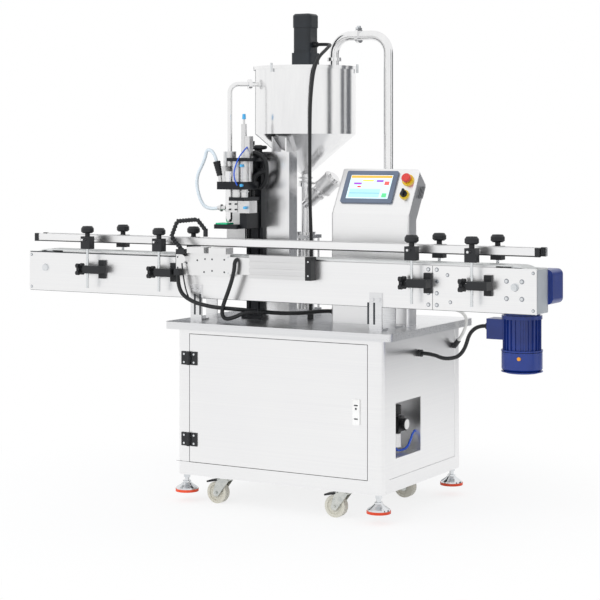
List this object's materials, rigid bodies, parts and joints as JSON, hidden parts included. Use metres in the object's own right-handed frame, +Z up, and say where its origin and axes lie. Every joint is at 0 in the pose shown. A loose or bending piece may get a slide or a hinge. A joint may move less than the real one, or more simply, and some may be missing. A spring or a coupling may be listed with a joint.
{
  "type": "heated paste filler",
  "caption": "Heated paste filler: an agitated hopper over a metering cylinder and one filling nozzle above a slat conveyor, on a stainless cabinet with a control console",
  "frame": {"origin": "on the floor, in the middle of the machine's overall box", "axes": "+X along the conveyor towards its drive, +Y away from the operator, +Z up"},
  "size_m": [2.026, 0.656, 1.7],
  "materials": {
    "cabinet_frame": "satin brushed stainless",
    "cabinet_panels": "satin brushed stainless",
    "door_panel": "satin brushed stainless",
    "table_top": "satin brushed stainless",
    "control_console": "satin brushed stainless",
    "column": "satin brushed stainless",
    "conveyor_frame": "satin brushed stainless",
    "conveyor_brackets": "satin stainless",
    "slat_chain": "moulded acetal slats",
    "end_covers": "grey moulded",
    "drive_shaft": "turned steel",
    "idler_shaft": "turned steel",
    "door_hinge_leaves": "black moulded",
    "post_hinge_leaves": "black moulded",
    "rod_brackets": "black moulded",
    "front_rail_posts": "black moulded",
    "rear_rail_posts": "black moulded",
    "stop_mounts": "black moulded",
    "cable_glands": "black moulded",
    "lift_handwheel": "black moulded",
    "latch_lever": "white lacquer",
    "caster_fork_front_left": "zinc plated",
    "caster_wheel_front_left": "cream nylon",
    "caster_fork_front_right": "zinc plated",
    "caster_wheel_front_right": "cream nylon",
    "caster_fork_rear_left": "zinc plated",
    "caster_wheel_rear_left": "cream nylon",
    "caster_fork_rear_right": "zinc plated",
    "caster_wheel_rear_right": "cream nylon",
    "levelling_feet": "bright plated",
    "foot_pads": "orange moulded",
    "air_regulator": "satin",
    "front_rail": "satin stainless",
    "rear_rail": "satin stainless",
    "worm_gearbox": "blue enamel",
    "drive_motor": "blue enamel",
    "lift_guide": "black anodised",
    "head_carriage": "black anodised",
    "dosing_cylinders": "natural anodised",
    "fill_nozzle": "polished stainless",
    "drip_tray": "black tray with a green pad",
    "hopper": "polished stainless",
    "hopper_lid": "polished stainless",
    "agitator_motor": "dark blue-grey enamel",
    "agitator_shaft": "stainless",
    "outlet_pipe": "polished stainless",
    "valve_actuator": "stainless",
    "pipework": "polished stainless",
    "pipe_clamps": "stainless",
    "hmi_panel": "blue-grey bezel",
    "button_collars": "yellow",
    "estop_button": "red",
    "selector_knob": "black",
    "stop_rail": "natural anodised",
    "stop_rods": "ground",
    "sensor_gooseneck": "black",
    "motor_conduit": "black ribbed",
    "agitator_conduit": "black ribbed",
    "stop_conduit": "black ribbed",
    "white_hose": "white"
  },
  "bodies": {
    "machine": {"cabinet_frame": "cabinet_frame", "cabinet_panels": "cabinet_panels", "table_top": "table_top", "control_console": "control_console", "column": "column", "conveyor_frame": "conveyor_frame", "conveyor_brackets": "conveyor_brackets", "slat_chain": "slat_chain", "end_covers": "end_covers", "post_hinge_leaves": "post_hinge_leaves", "rod_brackets": "rod_brackets", "stop_mounts": "stop_mounts", "cable_glands": "cable_glands", "air_regulator": "air_regulator", "worm_gearbox": "worm_gearbox", "drive_motor": "drive_motor", "lift_guide": "lift_guide", "hopper": "hopper", "hopper_lid": "hopper_lid", "agitator_motor": "agitator_motor", "outlet_pipe": "outlet_pipe", "valve_actuator": "valve_actuator", "pipework": "pipework", "pipe_clamps": "pipe_clamps", "hmi_panel": "hmi_panel", "button_collars": "button_collars", "stop_rail": "stop_rail", "sensor_gooseneck": "sensor_gooseneck", "motor_conduit": "motor_conduit", "agitator_conduit": "agitator_conduit", "stop_conduit": "stop_conduit", "white_hose": "white_hose"},
    "door": {"door_panel": "door_panel", "door_hinge_leaves": "door_hinge_leaves"},
    "latch": {"latch_lever": "latch_lever"},
    "feet": {"levelling_feet": "levelling_feet", "foot_pads": "foot_pads"},
    "front_posts": {"front_rail_posts": "front_rail_posts"},
    "front_guide": {"front_rail": "front_rail"},
    "rear_posts": {"rear_rail_posts": "rear_rail_posts"},
    "rear_guide": {"rear_rail": "rear_rail"},
    "head": {"head_carriage": "head_carriage", "dosing_cylinders": "dosing_cylinders", "fill_nozzle": "fill_nozzle"},
    "tray": {"drip_tray": "drip_tray"},
    "handwheel": {"lift_handwheel": "lift_handwheel"},
    "agitator": {"agitator_shaft": "agitator_shaft"},
    "drive": {"drive_shaft": "drive_shaft"},
    "idler": {"idler_shaft": "idler_shaft"},
    "stop_button": {"estop_button": "estop_button"},
    "selector": {"selector_knob": "selector_knob"},
    "stops": {"stop_rods": "stop_rods"},
    "fork_front_left": {"caster_fork_front_left": "caster_fork_front_left"},
    "wheel_front_left": {"caster_wheel_front_left": "caster_wheel_front_left"},
    "fork_front_right": {"caster_fork_front_right": "caster_fork_front_right"},
    "wheel_front_right": {"caster_wheel_front_right": "caster_wheel_front_right"},
    "fork_rear_left": {"caster_fork_rear_left": "caster_fork_rear_left"},
    "wheel_rear_left": {"caster_wheel_rear_left": "caster_wheel_rear_left"},
    "fork_rear_right": {"caster_fork_rear_right": "caster_fork_rear_right"},
    "wheel_rear_right": {"caster_wheel_rear_right": "caster_wheel_rear_right"}
  },
  "joints": [
    {"name": "door_hinge", "type": "hinge", "parent": "machine", "child": "door", "pos_m": [-0.251, -0.312, 0.36], "axis": [0, 0, -1], "range_deg": [0, 110]},
    {"name": "latch_hinge", "type": "hinge", "parent": "door", "child": "latch", "pos_m": [0.401, -0.3085, 0.3998], "axis": [-1, 0, 0], "range_deg": [0, 70]},
    {"name": "swivel_front_left", "type": "hinge", "parent": "machine", "child": "fork_front_left", "pos_m": [-0.1365, -0.261, 0.09], "axis": [0, 0, 1], "continuous": true},
    {"name": "roll_front_left", "type": "hinge", "parent": "fork_front_left", "child": "wheel_front_left", "pos_m": [-0.1615, -0.261, 0.0375], "axis": [0, 1, 0], "continuous": true},
    {"name": "swivel_front_right", "type": "hinge", "parent": "machine", "child": "fork_front_right", "pos_m": [0.3265, -0.261, 0.09], "axis": [0, 0, 1], "continuous": true},
    {"name": "roll_front_right", "type": "hinge", "parent": "fork_front_right", "child": "wheel_front_right", "pos_m": [0.3015, -0.261, 0.0375], "axis": [0, 1, 0], "continuous": true},
    {"name": "swivel_rear_left", "type": "hinge", "parent": "machine", "child": "fork_rear_left", "pos_m": [-0.1365, 0.15, 0.09], "axis": [0, 0, 1], "continuous": true},
    {"name": "roll_rear_left", "type": "hinge", "parent": "fork_rear_left", "child": "wheel_rear_left", "pos_m": [-0.1115, 0.15, 0.0375], "axis": [0, 1, 0], "continuous": true},
    {"name": "swivel_rear_right", "type": "hinge", "parent": "machine", "child": "fork_rear_right", "pos_m": [0.3265, 0.15, 0.09], "axis": [0, 0, 1], "continuous": true},
    {"name": "roll_rear_right", "type": "hinge", "parent": "fork_rear_right", "child": "wheel_rear_right", "pos_m": [0.3515, 0.15, 0.0375], "axis": [0, 1, 0], "continuous": true},
    {"name": "feet_height", "type": "slide", "parent": "machine", "child": "feet", "axis": [0, 0, 1], "range_m": [-0.033, 0]},
    {"name": "front_rail_height", "type": "slide", "parent": "machine", "child": "front_posts", "axis": [0, 0, 1], "range_m": [-0.005, 0.03]},
    {"name": "front_rail_reach", "type": "slide", "parent": "front_posts", "child": "front_guide", "axis": [0, 1, 0], "range_m": [-0.01, 0.01]},
    {"name": "rear_rail_height", "type": "slide", "parent": "machine", "child": "rear_posts", "axis": [0, 0, 1], "range_m": [-0.005, 0.03]},
    {"name": "rear_rail_reach", "type": "slide", "parent": "rear_posts", "child": "rear_guide", "axis": [0, 1, 0], "range_m": [-0.01, 0.01]},
    {"name": "head_lift", "type": "slide", "parent": "machine", "child": "head", "axis": [0, 0, 1], "range_m": [-0.02, 0.06]},
    {"name": "handwheel_turn", "type": "hinge", "parent": "machine", "child": "handwheel", "pos_m": [-0.122, -0.062, 1.2], "axis": [0, 0, 1], "range_deg": [-1440, 4320]},
    {"name": "tray_slide", "type": "slide", "parent": "head", "child": "tray", "axis": [0, 1, 0], "range_m": [0, 0.05]},
    {"name": "agitator_turn", "type": "hinge", "parent": "machine", "child": "agitator", "pos_m": [-0.017, 0.09, 1.5], "axis": [0, 0, 1], "continuous": true},
    {"name": "chain_drive", "type": "hinge", "parent": "machine", "child": "drive", "pos_m": [0.923, -0.18, 0.782], "axis": [0, 1, 0], "continuous": true},
    {"name": "idler_turn", "type": "hinge", "parent": "machine", "child": "idler", "pos_m": [-0.939, -0.18, 0.782], "axis": [0, 1, 0], "continuous": true},
    {"name": "stop_button_press", "type": "slide", "parent": "machine", "child": "stop_button", "axis": [0, 0.8668, -0.4986], "range_m": [0, 0.004]},
    {"name": "selector_turn", "type": "hinge", "parent": "machine", "child": "selector", "pos_m": [0.434, -0.02644, 1.06437], "axis": [0, -0.8668, 0.4986], "range_deg": [-45, 45]},
    {"name": "stop_rods_slide", "type": "slide", "parent": "machine", "child": "stops", "axis": [0, 1, 0], "range_m": [0, 0.035]}
  ],
  "couplings": [
    {"joint": "handwheel_turn", "follows": "head_lift", "rad_per_m": 1256.6},
    {"joint": "idler_turn", "follows": "chain_drive", "ratio": 1}
  ]
}
